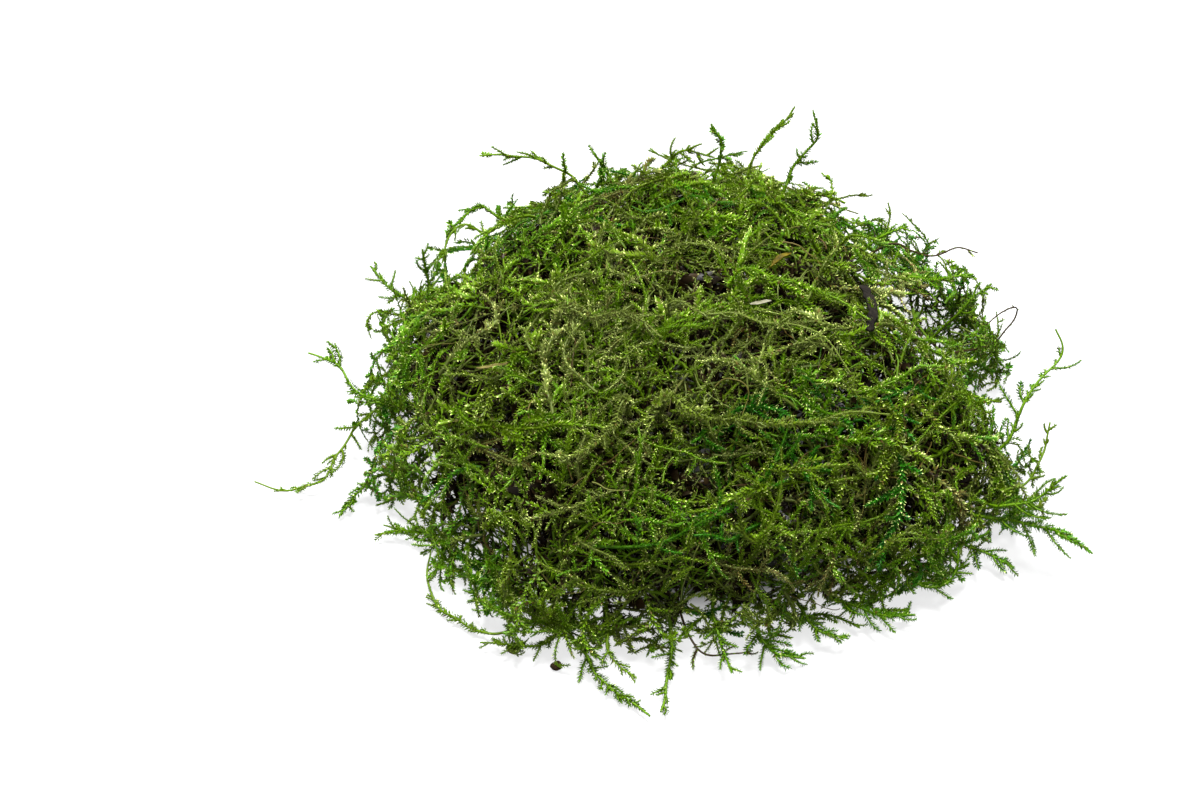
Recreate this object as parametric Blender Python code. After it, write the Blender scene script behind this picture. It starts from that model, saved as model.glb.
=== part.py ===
"""Moss clump: a springy mat of interlocked shoots, with the stray shoots and
caught bits that stand clear of it. Metres, +Z up. The origin is the middle of
the mat's flat underside; +X runs along the clump's longest way across."""

import math
import random

import bmesh
import bpy
from mathutils import Vector
from mathutils.bvhtree import BVHTree

MM = 0.001

# The mat, in millimetres
MAT_HEIGHT = 42.0
RIM_HEIGHT = 4.5        # the rim's widest line above the table
FOOT_SHARE = 0.88       # the flat foot's radius against the rim's
DOME_POWER = 2.6        # above 2 the dome has a flatter top and steeper sides
DOME_ROUND = 0.45
BEARINGS = 60           # corners round the rim
RINGS = 22              # rings from the rim to the crown
RIM_FRAY = 1.4          # how far tufts of shoots push the rim in and out

# Rim radius by bearing, degrees from +X: an oval drawn out to the front left
# and the right, with a dent between the right side and the back-right lobe.
RIM = ((0, 49), (15, 60), (28, 60), (45, 57), (75, 56), (120, 57), (145, 58), (172, 61),
       (200, 60), (222, 58), (242, 63), (275, 57), (300, 57), (320, 61), (342, 64))

# Hollows in the dome: x, y, depth, spread
HOLLOWS = ((48, 28, 15, 17), (57, -2, 15, 10), (-52, 8, 4, 9), (-4, -42, 3, 9))

TUFTS = 90              # domed tufts that make the crown lumpy
TUFT_HEIGHT = 2.6

# The shoots, in millimetres
GAP = 0.4               # clearance where a shoot leaves the mat
LEAFY = 0.85            # half width over the leaves
BARE = 0.35             # half width of a stem that has lost its leaves
FLATNESS = 0.62         # shoots are flattened: thickness against width
SPACING = 1.9           # between rings along a shoot
FORK_ANGLE = math.radians(52)
LAST_FORK = 0.92        # share of the stem where the last side shoot leaves it
STEM_TAPER = 0.5        # how much of its width a stem loses by its tip
BRANCH_TAPER = 0.45
SWELLS = (0.88, 1.1)    # leafy shoots swell and narrow from ring to ring
CURVE_STEPS = 12        # points worked out between two waypoints

GREEN = (0.16, 0.26, 0.02)
OLIVE = (0.17, 0.19, 0.03)
STRAW = (0.42, 0.36, 0.16)
BROWN = (0.07, 0.035, 0.015)
GREY_BARK = (0.10, 0.09, 0.085)
AMBER = (0.55, 0.33, 0.05)
CREAM = (0.62, 0.58, 0.50)


def clear_scene():
    for obj in list(bpy.data.objects):
        bpy.data.objects.remove(obj, do_unlink=True)


def plain_material(name, colour, roughness):
    found = bpy.data.materials.get(name)
    if found:
        return found
    made = bpy.data.materials.new(name)
    made.use_nodes = True
    shader = made.node_tree.nodes["Principled BSDF"]
    shader.inputs["Base Color"].default_value = (*colour, 1.0)
    shader.inputs["Roughness"].default_value = roughness
    shader.inputs["Metallic"].default_value = 0.0
    return made


def add_object(name, bm, colour, roughness=0.7):
    bmesh.ops.recalc_face_normals(bm, faces=bm.faces)
    mesh = bpy.data.meshes.new(name)
    bm.to_mesh(mesh)
    bm.free()
    obj = bpy.data.objects.new(name, mesh)
    bpy.context.collection.objects.link(obj)
    mesh.materials.append(plain_material("moss " + name, colour, roughness))
    return obj


# --- the mat ---------------------------------------------------------------

def rim_radius(bearing):
    """Radius of the rim in mm, eased between the corners listed in RIM."""
    degrees = math.degrees(bearing) % 360
    corners = RIM + ((RIM[0][0] + 360, RIM[0][1]),)
    for (start, near), (end, far) in zip(corners, corners[1:]):
        if start <= degrees <= end:
            share = (degrees - start) / (end - start)
            return near + (far - near) * (1 - math.cos(math.pi * share)) / 2
    return corners[0][1]


def tufts():
    """Tufts spread evenly over the crown, each with its own height and width."""
    dice = random.Random(11)
    golden = math.pi * (3 - math.sqrt(5))
    for i in range(TUFTS):
        bearing = golden * i
        reach = rim_radius(bearing) * 0.95 * math.sqrt((i + 0.5) / TUFTS)
        height = TUFT_HEIGHT * dice.uniform(-1.1, 1.0)
        yield reach * math.cos(bearing), reach * math.sin(bearing), height, dice.uniform(4, 6.5)


def crown_height(share, x, y, bumps):
    """Height of the mat's upper surface above the table, in mm, at a share of
    the way from its middle to its rim."""
    height = RIM_HEIGHT + (MAT_HEIGHT - RIM_HEIGHT) * (1 - share ** DOME_POWER) ** DOME_ROUND
    fade = min(1.0, (1 - share) * 5)
    for bx, by, rise, spread in bumps:
        height += fade * rise * math.exp(-((x - bx) ** 2 + (y - by) ** 2) / spread ** 2)
    for hx, hy, depth, spread in HOLLOWS:
        height -= fade * depth * math.exp(-((x - hx) ** 2 + (y - hy) ** 2) / spread ** 2)
    return max(height, RIM_HEIGHT)


def mat_mesh():
    """The dome as rings of vertices from the foot, over the rim, to the crown."""
    bm = bmesh.new()
    dice = random.Random(5)
    bumps = list(tufts())
    bearings = [2 * math.pi * i / BEARINGS for i in range(BEARINGS)]
    fray = [dice.uniform(-RIM_FRAY, RIM_FRAY) for _ in bearings]
    foot = []
    for bearing, push in zip(bearings, fray):
        radius = FOOT_SHARE * (rim_radius(bearing) + push)
        foot.append(bm.verts.new((radius * math.cos(bearing), radius * math.sin(bearing), 0)))
    rings = [foot]
    for k in range(RINGS):
        share = math.cos(0.5 * math.pi * k / RINGS)
        ring = []
        for bearing, push in zip(bearings, fray):
            radius = share * rim_radius(bearing) + push * share ** 6
            x = radius * math.cos(bearing)
            y = radius * math.sin(bearing)
            height = crown_height(share, x, y, bumps) + push * 0.5 * share ** 6
            ring.append(bm.verts.new((x, y, height)))
        rings.append(ring)
    for lower, upper in zip(rings, rings[1:]):
        for i in range(BEARINGS):
            j = (i + 1) % BEARINGS
            bm.faces.new((lower[i], lower[j], upper[j], upper[i]))
    top = bm.verts.new((0, 0, crown_height(0, 0, 0, bumps)))
    for i in range(BEARINGS):
        bm.faces.new((rings[-1][i], rings[-1][(i + 1) % BEARINGS], top))
    bm.faces.new(list(reversed(foot)))
    bmesh.ops.scale(bm, verts=bm.verts, vec=(MM, MM, MM))
    bmesh.ops.triangulate(bm, faces=[f for f in bm.faces if len(f.verts) == 4])
    return bm


def build_mat():
    return add_object("moss_mat", mat_mesh(), GREEN)


def build_clearance():
    """The mat swollen by the gap that stray shoots keep from it: a cutter."""
    bm = mat_mesh()
    bmesh.ops.recalc_face_normals(bm, faces=bm.faces)
    bm.normal_update()
    for vert in bm.verts:
        vert.co += vert.normal * GAP * MM
    cutter = add_object("mat_clearance", bm, BROWN)
    cutter.hide_render = True
    cutter.display_type = 'WIRE'
    return cutter


# --- the shoots ------------------------------------------------------------

def smooth_path(points, spacing):
    """A Catmull-Rom curve through the points, in steps of about the spacing."""
    corners = [Vector(p) for p in points]
    ends = [2 * corners[0] - corners[1]] + corners + [2 * corners[-1] - corners[-2]]
    fine = []
    for a, b, c, d in zip(ends, ends[1:], ends[2:], ends[3:]):
        for step in range(CURVE_STEPS):
            t = step / CURVE_STEPS
            fine.append(0.5 * (2 * b + (c - a) * t + (2 * a - 5 * b + 4 * c - d) * t * t
                               + (3 * b - a - 3 * c + d) * t ** 3))
    fine.append(corners[-1])
    length = sum((q - p).length for p, q in zip(fine, fine[1:]))
    count = max(2, round(length / spacing))
    path = [fine[0]]
    walked = 0.0
    for p, q in zip(fine, fine[1:]):
        walked += (q - p).length
        if walked >= length * len(path) / count - 1e-6:
            path.append(q)
    return path


def square_ring(bm, centre, across, through, half_width, half_thick):
    """Four corners round a shoot; the faces between them look sideways."""
    wide = across * half_width
    thick = through * half_thick
    corners = (centre + wide + thick, centre + wide - thick,
               centre - wide - thick, centre - wide + thick)
    return [bm.verts.new(corner) for corner in corners]


def close_tip(bm, ring, point):
    tip = bm.verts.new(point)
    for i in range(4):
        bm.faces.new((ring[i], ring[(i + 1) % 4], tip))


def skin(bm, lower, upper):
    return [bm.faces.new((lower[i], lower[(i + 1) % 4], upper[(i + 1) % 4], upper[i]))
            for i in range(4)]


def grow_branch(bm, base, along, outward, through, length, half_width):
    """A side shoot drawn out of one side face of its stem."""
    centre = sum((v.co for v in base), Vector()) / 4
    rings = max(2, round(length / (SPACING * 1.15)))
    lower = base
    for k in range(1, rings + 1):
        share = k / rings
        angle = FORK_ANGLE * (1 - 0.35 * share)
        heading = along * math.cos(angle) + outward * math.sin(angle)
        forward = (along - heading * along.dot(heading)).normalized()
        centre = centre + heading * (length / rings)
        if k == rings:
            close_tip(bm, lower, centre)
            return
        width = half_width * SWELLS[k % 2] * (1 - BRANCH_TAPER * share)
        thick = through * width * FLATNESS
        corners = (centre - forward * width + thick, centre - forward * width - thick,
                   centre + forward * width - thick, centre + forward * width + thick)
        upper = [bm.verts.new(corner) for corner in corners]
        skin(bm, lower, upper)
        lower = upper


def build_shoot(name, points, colour=GREEN, half_width=LEAFY, branches=0, longest=7.0,
                start=0.3, first_side=1, turn=0.0):
    """A stem along the points with side shoots on alternate sides.

    branches is how many side shoots there are from the share start onwards,
    longest the first one's length in mm, and turn rolls the flat of the shoot
    about its stem, in degrees."""
    bm = bmesh.new()
    path = smooth_path(points, SPACING)
    count = len(path)
    heading = (path[1] - path[0]).normalized()
    across = heading.cross(Vector((0, 0, 1)))
    if across.length < 0.2:
        across = heading.cross(Vector((0, 1, 0)))
    rings = []
    frames = []
    for i, centre in enumerate(path[:-1]):
        heading = (path[i + 1] - path[max(i - 1, 0)]).normalized()
        across = (across - heading * across.dot(heading)).normalized()
        through = across.cross(heading)
        roll = math.radians(turn)
        side = across * math.cos(roll) + through * math.sin(roll)
        flat = side.cross(heading)
        taper = 1.0 - STEM_TAPER * (i / count) ** 2
        leafing = 1.0 if half_width < LEAFY / 2 else SWELLS[i % 2]
        width = half_width * taper * leafing
        rings.append(square_ring(bm, centre, side, flat, width, width * FLATNESS))
        frames.append((heading, side, flat))
    forks = {}
    for k in range(branches):
        place = start + (LAST_FORK - start) * k / max(branches - 1, 1)
        segment = min(int(place * (count - 2)), count - 4)
        forks[max(segment, 0)] = (first_side if k % 2 == 0 else -first_side, k)
    for i, (lower, upper) in enumerate(zip(rings, rings[1:])):
        faces = skin(bm, lower, upper)
        if i not in forks:
            continue
        side, order = forks[i]
        heading, across, through = frames[i]
        bm.faces.remove(faces[0] if side > 0 else faces[2])
        if side > 0:
            base = [lower[0], lower[1], upper[1], upper[0]]
        else:
            base = [lower[3], lower[2], upper[2], upper[3]]
        length = longest * (1 - 0.55 * order / max(branches, 1))
        grow_branch(bm, base, heading, across * side, through, length, min(half_width, LEAFY))
    bm.faces.new(rings[0])
    close_tip(bm, rings[-1], path[-1])
    bmesh.ops.scale(bm, verts=bm.verts, vec=(MM, MM, MM))
    return add_object(name, bm, colour)


def keep_largest(mesh):
    """Drop the offcuts that lie inside the mat once a shoot is trimmed."""
    bm = bmesh.new()
    bm.from_mesh(mesh)
    bm.verts.ensure_lookup_table()
    waiting = set(bm.verts)
    islands = []
    while waiting:
        edge_of_island = [waiting.pop()]
        island = set(edge_of_island)
        while edge_of_island:
            for edge in edge_of_island.pop().link_edges:
                for vert in edge.verts:
                    if vert not in island:
                        island.add(vert)
                        edge_of_island.append(vert)
        waiting -= island
        islands.append(island)
    islands.sort(key=len)
    for island in islands[:-1]:
        bmesh.ops.delete(bm, geom=list(island), context='VERTS')
    bmesh.ops.triangulate(bm, faces=bm.faces)
    bm.to_mesh(mesh)
    bm.free()


def trim(obj, cutter):
    """Cut away what the mat hides, then keep the one stray piece that is left."""
    cut = obj.modifiers.new("clear of the mat", 'BOOLEAN')
    cut.operation = 'DIFFERENCE'
    cut.solver = 'EXACT'
    cut.object = cutter
    ready = obj.evaluated_get(bpy.context.evaluated_depsgraph_get())
    mesh = bpy.data.meshes.new_from_object(ready)
    obj.modifiers.clear()
    obj.data = mesh
    keep_largest(mesh)


def left_shoots():
    yield build_shoot("shoot_left_long",
                      ((-54, -2, 9), (-61, -3, 9), (-67, -7, 7), (-70, -12, 5), (-73, -17, 3),
                       (-78, -19, 2.2), (-82, -18, 1.8), (-86, -16, 1.6)),
                      OLIVE, branches=5, longest=5, start=0.35)
    yield build_shoot("shoot_left_upper",
                      ((-52, -8, 14), (-60, -8, 15), (-66, -5, 16), (-69, -1, 17), (-72, 2, 17),
                       (-76, 5, 16)),
                      branches=3, longest=8, start=0.5, first_side=1)
    yield build_shoot("shoot_left_low",
                      ((-55, -15, 5), (-62, -17, 4), (-66, -20, 2.4), (-69, -25, 1.6)),
                      branches=2, longest=4, start=0.5)
    yield build_shoot("shoot_left_spike",
                      ((-44, -33, 5), (-51, -31, 4), (-57, -30, 2.6), (-62, -30, 1.6)),
                      OLIVE, half_width=1.1, branches=2, longest=4, start=0.5)
    yield build_shoot("blade_left_rear", ((-51, 18, 14), (-53, 21, 20), (-54, 23, 27)),
                      branches=2, longest=4, start=0.5)
    yield build_shoot("shoot_left_rear", ((-52, 20, 12), (-60, 23, 15), (-65, 28, 18)),
                      branches=3, longest=5, start=0.45)


def front_shoots():
    yield build_shoot("loop_front_left",
                      ((-28, -50, 4), (-34, -53.5, 2.4), (-40, -54, 1.5), (-46, -51, 1.2),
                       (-50, -46, 1.2), (-51.5, -40, 1.4), (-51, -35, 2.4)),
                      OLIVE, half_width=0.7, branches=4, longest=4, start=0.3, first_side=-1)
    yield build_shoot("hook_front_left",
                      ((-31, -44, 7), (-36, -51, 5.5), (-40.5, -50, 4.5), (-43, -46.5, 5),
                       (-43, -43, 6.5)),
                      branches=0)
    yield build_shoot("straggler_front",
                      ((-25, -55, 4), (-21, -62, 2.4), (-18, -67, 1.7), (-14, -70, 1.4),
                       (-10, -74, 1.4)),
                      branches=5, longest=7, start=0.35)
    yield build_shoot("straggler_front_upper",
                      ((-18, -56, 7), (-17.3, -61.5, 5.5), (-15.5, -65, 4.6), (-12.6, -67, 4)),
                      OLIVE, half_width=0.6, branches=2, longest=3, start=0.6)
    yield build_shoot("shoot_front_middle",
                      ((-6, -56, 4), (-6, -62, 2.6), (-7, -68, 1.6), (-8, -73, 1.4)),
                      branches=3, longest=5, start=0.4)
    yield build_shoot("stem_front_rim", ((-4, -54, 6), (-1, -60, 4), (4, -61, 3), (9, -60, 3)),
                      BROWN, half_width=BARE, branches=2, longest=4, start=0.4)
    yield build_shoot("tip_front_right", ((2, -54, 7.5), (2.5, -59.5, 6), (5, -65.5, 3.4)),
                      branches=2, longest=4, start=0.5)
    yield build_shoot("fan_front_right",
                      ((8, -53, 5), (12, -59.5, 3.4), (15, -60.5, 2.4), (18.5, -61, 2)),
                      branches=2, longest=5, start=0.5)
    yield build_shoot("shoot_front_right", ((17, -49, 5), (21, -56, 4), (26.5, -57, 3)),
                      branches=3, longest=4, start=0.45)
    yield build_shoot("pair_front_right",
                      ((22, -46, 5), (29, -51, 4), (34.5, -51.4, 3), (39.5, -50.8, 2.4)),
                      branches=4, longest=6, start=0.4, first_side=1)
    yield build_shoot("runner_front_right",
                      ((34, -39, 6), (40, -45, 5), (44.5, -45, 4.4), (47.5, -42.5, 5), (48, -39.5, 8)),
                      half_width=0.7, branches=3, longest=5, start=0.4)


def right_shoots():
    yield build_shoot("tips_right_low", ((48, -33, 4), (54, -36.5, 3.6), (59, -38.8, 2.2)),
                      branches=2, longest=5, start=0.45)
    yield build_shoot("plume_right_lower",
                      ((52, -31, 8), (60, -34, 10), (65, -36, 10), (70, -36, 7), (74, -36, 3)),
                      branches=6, longest=7, start=0.35, first_side=1)
    yield build_shoot("plume_right_upper",
                      ((53, -30, 11), (59, -33, 13), (63.5, -32, 15), (68, -30.5, 18.5)),
                      branches=4, longest=6, start=0.5)
    yield build_shoot("whip_right", ((56, -26, 8), (63, -23, 10), (65.5, -18.5, 12.5), (67, -14, 16)),
                      OLIVE, half_width=0.45, branches=3, longest=3, start=0.5)
    yield build_shoot("arch_right",
                      ((52, -22, 13), (58, -20, 17), (60.5, -16, 21), (63.5, -12, 24), (67.5, -8.5, 26),
                       (69, -6, 28), (67.5, -4, 31)),
                      branches=5, longest=6, start=0.45, first_side=1)
    yield build_shoot("loop_right_leafy",
                      ((47, -10, 13), (52, -10, 15.5), (54.5, -10.5, 18), (57.3, -13, 20.5)),
                      OLIVE, half_width=0.7, branches=2, longest=3, start=0.5)
    yield build_shoot("loop_right_bare",
                      ((42, 1, 14), (47, 3.5, 15), (52, 8, 13.5), (59, 13, 11),
                       (62.5, 16.5, 12.5), (64, 18.5, 15), (60.5, 15.5, 17), (57, 11.5, 17.5)),
                      BROWN, half_width=BARE)
    yield build_shoot("tip_right_rear", ((49, 16, 12), (53.5, 17.5, 17), (58.5, 20, 20.5)),
                      branches=2, longest=4, start=0.5)
    yield build_shoot("runner_right_rear",
                      ((34, 16, 24), (41, 16.5, 25), (48, 17.5, 24.3), (54.5, 19, 24)),
                      half_width=0.7, branches=3, longest=3, start=0.5, first_side=-1)
    yield build_shoot("wavy_right_rear",
                      ((33, 24, 24), (39, 23, 28.5), (42.5, 22, 27.5), (47, 22, 26),
                       (51.5, 23, 27.5), (55.5, 22.5, 26.5)),
                      BROWN, half_width=BARE, branches=2, longest=3, start=0.4)
    yield build_shoot("prong_right_rear", ((31, 20, 28), (36.5, 21, 32), (41, 22, 34)),
                      branches=2, longest=4, start=0.5)


def rear_shoots():
    yield build_shoot("sprig_rear_right", ((17, 36, 30), (20, 41, 34), (24, 43, 38), (24, 44, 43)),
                      branches=3, longest=5, start=0.4, turn=70)
    yield build_shoot("sprig_rear_middle",
                      ((9, 35, 32), (12, 38.5, 38), (14, 39.5, 42), (19, 39.5, 48)),
                      branches=4, longest=5, start=0.4, turn=70)
    yield build_shoot("sprig_rear", ((3, 34, 32), (5, 37.5, 39), (5, 37.5, 42.5), (2.8, 38, 46.5)),
                      branches=3, longest=5, start=0.4, turn=70)
    yield build_shoot("fan_rear", ((-9, 36, 31), (-6, 38.5, 36), (-2.5, 38.7, 39), (3.5, 37.3, 38.6)),
                      branches=4, longest=5, start=0.35, turn=60)
    yield build_shoot("sprig_rear_left", ((-16, 36, 29), (-17.3, 39.5, 32), (-20, 41, 36.3)),
                      branches=2, longest=5, start=0.4, turn=70)
    yield build_shoot("arch_rear_left",
                      ((-20, 37, 26), (-25, 40, 32), (-31, 41, 35), (-37, 41, 36), (-43, 42, 35)),
                      OLIVE, half_width=0.7, branches=5, longest=5, start=0.4, turn=30)
    yield build_shoot("curl_rear_left",
                      ((-36, 35, 20), (-42, 38.5, 24), (-46, 37.5, 23), (-50, 35, 20)),
                      branches=3, longest=4, start=0.4)
    yield build_shoot("loop_rear_left",
                      ((-38, 28, 22), (-45, 31, 26), (-49, 29.5, 24.5), (-50.5, 26, 20.5)),
                      OLIVE, half_width=0.5, branches=2, longest=3, start=0.45)


# --- bits caught in the moss -----------------------------------------------

def strip(name, points, half_width, thickness, colour, ragged=0.12, pointed=True):
    """A thin flat strip that follows the points, its edges slightly uneven."""
    bm = bmesh.new()
    dice = random.Random(len(name))
    path = smooth_path(points, half_width * 1.2)
    across = (path[-1] - path[0]).cross(Vector((0, 0.25, 1))).normalized()
    lower = None
    for i, centre in enumerate(path):
        heading = (path[min(i + 1, len(path) - 1)] - path[max(i - 1, 0)]).normalized()
        across = (across - heading * across.dot(heading)).normalized()
        through = across.cross(heading)
        share = i / (len(path) - 1)
        swell = math.sin(math.pi * (0.12 + 0.8 * share)) if pointed else 1.0
        width = half_width * swell * dice.uniform(1 - ragged, 1 + ragged)
        upper = square_ring(bm, centre, across, through, width, thickness / 2)
        if lower:
            skin(bm, lower, upper)
        else:
            bm.faces.new(upper)
        lower = upper
    bm.faces.new(lower)
    bmesh.ops.triangulate(bm, faces=bm.faces)
    bmesh.ops.scale(bm, verts=bm.verts, vec=(MM, MM, MM))
    return add_object(name, bm, colour, roughness=0.85)


def crumb(name, centre, size, seed):
    """A lump of dark litter lying on the table."""
    bm = bmesh.new()
    bmesh.ops.create_icosphere(bm, subdivisions=1, radius=size)
    dice = random.Random(seed)
    for vert in bm.verts:
        vert.co *= dice.uniform(0.75, 1.15)
        vert.co.z *= 0.6
    lowest = min(vert.co.z for vert in bm.verts)
    bmesh.ops.translate(bm, verts=bm.verts, vec=Vector(centre) - Vector((0, 0, lowest)))
    bmesh.ops.scale(bm, verts=bm.verts, vec=(MM, MM, MM))
    return add_object(name, bm, BROWN, roughness=0.9)


def above_mat(places):
    """Points at the given heights over the mat, from x, y and height in mm."""
    mat = bpy.data.objects["moss_mat"]
    surface = BVHTree.FromObject(mat, bpy.context.evaluated_depsgraph_get())
    for x, y, height in places:
        ground = surface.ray_cast(Vector((x, y, 2 * MAT_HEIGHT)) * MM, Vector((0, 0, -1)))[0]
        yield x, y, ground.z / MM + height


def caught_bits():
    yield strip("bark_strip", above_mat(((31, 2, 0.9), (32, -4, 1.2), (32, -9, 1.2), (31, -14, 1.4))),
                1.5, 0.7, GREY_BARK, ragged=0.2, pointed=False)
    yield strip("yellow_leaf", above_mat(((12, 0, 1.0), (15, 2, 1.8), (18, 4, 1.5))), 0.9, 0.3, AMBER)
    yield strip("pale_flake", above_mat(((9, -8, 0.9), (11, -7.4, 1.5), (13, -7, 1.6))), 0.8, 0.3,
                CREAM)
    yield strip("grass_end", above_mat(((-36, -19, 0.8), (-39, -19, 1.4), (-42, -18, 1.8))), 0.6, 0.3,
                STRAW)
    yield crumb("litter_crumb_left", (-35, -57.5, 0.0), 1.5, 3)
    yield crumb("litter_crumb_right", (-27, -61.5, 0.0), 1.2, 8)


def build():
    clear_scene()
    build_mat()
    clearance = build_clearance()
    for family in (left_shoots, front_shoots, right_shoots, rear_shoots, caught_bits):
        for piece in family():
            trim(piece, clearance)


build()
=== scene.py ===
# A loose clump of feather moss: leafy shoots grown through and over the imported solids, their finish,
# and a grey table that glows white as painted light, under soft studio light. Lengths are in millimetres
# until a mesh is made.
import math

import bmesh
import bpy
import numpy as np
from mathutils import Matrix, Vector
from mathutils.bvhtree import BVHTree


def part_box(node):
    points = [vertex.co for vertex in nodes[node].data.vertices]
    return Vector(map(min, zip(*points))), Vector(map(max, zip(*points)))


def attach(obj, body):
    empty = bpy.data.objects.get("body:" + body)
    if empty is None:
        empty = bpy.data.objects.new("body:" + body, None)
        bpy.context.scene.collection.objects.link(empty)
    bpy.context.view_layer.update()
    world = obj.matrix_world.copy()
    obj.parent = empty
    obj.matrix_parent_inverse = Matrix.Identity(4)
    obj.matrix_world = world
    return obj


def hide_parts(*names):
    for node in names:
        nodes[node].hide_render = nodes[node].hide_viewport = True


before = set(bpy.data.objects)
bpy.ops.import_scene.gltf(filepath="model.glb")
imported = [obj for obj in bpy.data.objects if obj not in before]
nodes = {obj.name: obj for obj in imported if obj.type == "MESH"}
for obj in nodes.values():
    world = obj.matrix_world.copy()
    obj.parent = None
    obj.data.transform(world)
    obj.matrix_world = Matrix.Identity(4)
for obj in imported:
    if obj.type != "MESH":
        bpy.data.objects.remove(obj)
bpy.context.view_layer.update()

mm = 0.001
goldenAngle = math.pi * (3 - math.sqrt(5))
groundClearance = 0.9        # stems keep this far above the table
stemTaper = 0.5              # of its radius, lost by its tip
tries = 24                   # edge shoots grown for each one kept


def unit(v):
    return v / np.maximum(np.linalg.norm(v, axis=-1, keepdims=True), 1e-9)


def rowDot(a, b):
    return np.sum(a * b, axis=-1, keepdims=True)


def softNoise(points, scale, seed, waves=7):  # a smooth random value in about -1..1 at each point
    dice = np.random.default_rng(seed)
    total = np.zeros(len(points))
    for _ in range(waves):
        direction = unit(dice.normal(size=3)) * 2 * math.pi / (scale * dice.uniform(0.7, 1.6))
        total += np.sin(points @ direction + dice.uniform(0, 2 * math.pi))
    return total / math.sqrt(waves)


class DepthField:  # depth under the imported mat's surface, on a grid; negative outside
    def __init__(self, solid, step=2.0, margin=16.0):
        mesh = solid.data
        places = np.array([v.co / mm for v in mesh.vertices])
        self.faces = [tuple(p.vertices) for p in mesh.polygons]
        self.places = places
        self.tree = BVHTree.FromPolygons(places.tolist(), self.faces)
        self.low = places.min(0) - margin
        self.step = step
        counts = np.ceil((places.max(0) + margin - self.low) / step).astype(int) + 1
        axes = [self.low[i] + step * np.arange(counts[i]) for i in range(3)]
        depth = np.empty(counts)
        for i, x in enumerate(axes[0]):
            for j, y in enumerate(axes[1]):
                for k, z in enumerate(axes[2]):
                    here = Vector((x, y, z))
                    near, normal, _, gap = self.tree.find_nearest(here)
                    depth[i, j, k] = -gap if normal.dot(here - near) > 0 else gap
        self.depth = depth
        self.slope = np.stack(np.gradient(depth, step), axis=-1)

    def at(self, points):  # depth and outward direction at each point
        spot = (points - self.low) / self.step
        spot = np.clip(spot, 0, np.array(self.depth.shape) - 1.001)
        cell = spot.astype(int)
        part = spot - cell
        depth = np.zeros(len(points))
        slope = np.zeros((len(points), 3))
        for corner in np.ndindex(2, 2, 2):
            share = np.prod(np.where(corner, part, 1 - part), axis=1)
            index = tuple((cell + corner).T)
            depth += share * self.depth[index]
            slope += share[:, None] * self.slope[index]
        return depth, unit(-slope)

    def heightAt(self, x, y):
        return self.tree.ray_cast(Vector((x, y, 99)), Vector((0, 0, -1)))[0].z


mat = DepthField(nodes["moss_mat"])
print("depth field ready", mat.depth.shape)


# growing shoots: every shoot in a batch takes its steps together

def growPaths(starts, headings, lengths, steps, wantDepth, curl, dice, wobble=0.1, follow=0.35):
    count = len(starts)
    place = starts.copy()
    heading = unit(headings)
    stride = (lengths / steps)[:, None]
    path = np.empty((count, steps + 1, 3))
    ups = np.empty((count, steps + 1, 3))
    for k in range(steps + 1):
        depth, outward = mat.at(place)
        path[:, k] = place
        ups[:, k] = outward
        error = depth - wantDepth[:, min(k, steps - 1)]
        heading = heading - outward * rowDot(heading, outward) * follow
        heading = heading + outward * (np.clip(error * 0.13, -0.55, 0.55)[:, None] * np.minimum(stride, 1.5))
        heading = heading + np.cross(outward, heading) * curl[:, min(k, steps - 1), None] * stride
        heading = heading + dice.normal(0, wobble, heading.shape)
        low = np.clip((groundClearance + 0.6 - place[:, 2]) * 0.6, 0, 1)  # lift off the table
        heading[:, 2] = np.where(low > 0, np.maximum(heading[:, 2], low * 0.5), heading[:, 2])
        heading = unit(heading)
        place = place + heading * stride
    path[:, :, 2] = np.maximum(path[:, :, 2], groundClearance * 0.7)
    return path, ups


class Shoots:  # a batch of shoots; ups says which way is up at each step of a path
    def __init__(self, path, ups, lengths, tones=None, vigour=None):
        self.path, self.ups, self.lengths = path, ups, lengths
        self.tones, self.vigour = tones, vigour

    def __len__(self):
        return len(self.path)

    def pick(self, rows):
        return Shoots(*(value if value is None else value[rows] for value in vars(self).values()))


def alongPath(path, shares):  # points and headings at shares of the way along, path row by path row
    steps = path.shape[1] - 1
    spot = np.clip(shares, 0, 0.9999) * steps
    cell = spot.astype(int)
    part = (spot - cell)[:, None]
    rows = np.arange(len(path))
    a, b = path[rows, cell], path[rows, cell + 1]
    return a * (1 - part) + b * part, unit(b - a)


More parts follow.
